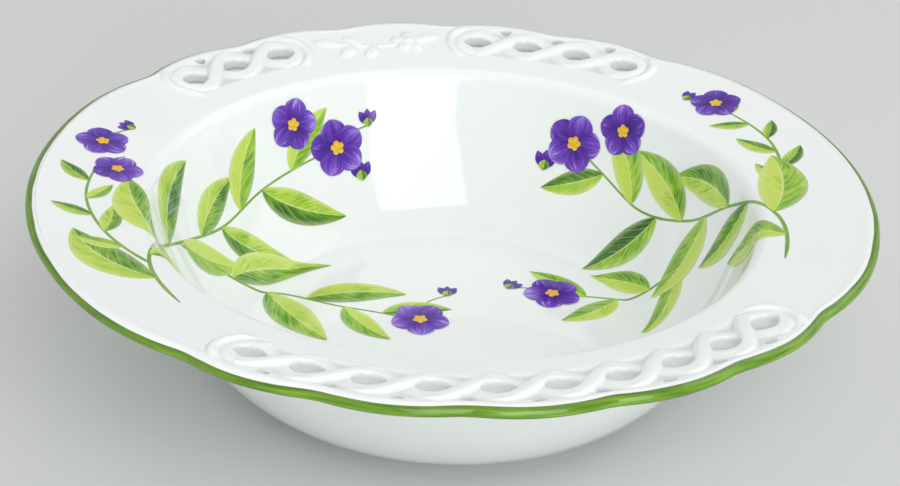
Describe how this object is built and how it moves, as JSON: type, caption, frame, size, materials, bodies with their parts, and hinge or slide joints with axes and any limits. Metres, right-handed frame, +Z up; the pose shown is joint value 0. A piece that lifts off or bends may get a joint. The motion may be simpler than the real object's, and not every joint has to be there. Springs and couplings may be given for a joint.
{
  "type": "salad bowl",
  "caption": "Round white porcelain serving bowl with a deep well, a broad rim with scalloped green edge, pierced ribbon lattice panels and a low turned foot.",
  "frame": {"origin": "on the table, on the bowl's axis, in the plane of the foot ring's flat underside", "axes": "+Z up out of the mouth, -Y to the long lattice panel at the front, +X to the right-hand plain lobe"},
  "size_m": [0.2538, 0.2518, 0.0622],
  "materials": {
    "porcelain": "gloss",
    "green_enamel": "gloss"
  },
  "bodies": {
    "root": {"foot_ring": "porcelain", "well": "porcelain", "rim": "porcelain", "front_lattice": "porcelain", "back_right_lattice": "porcelain", "back_left_lattice": "porcelain", "flower_sprig": "porcelain", "green_edge": "green_enamel"}
  },
  "joints": []
}
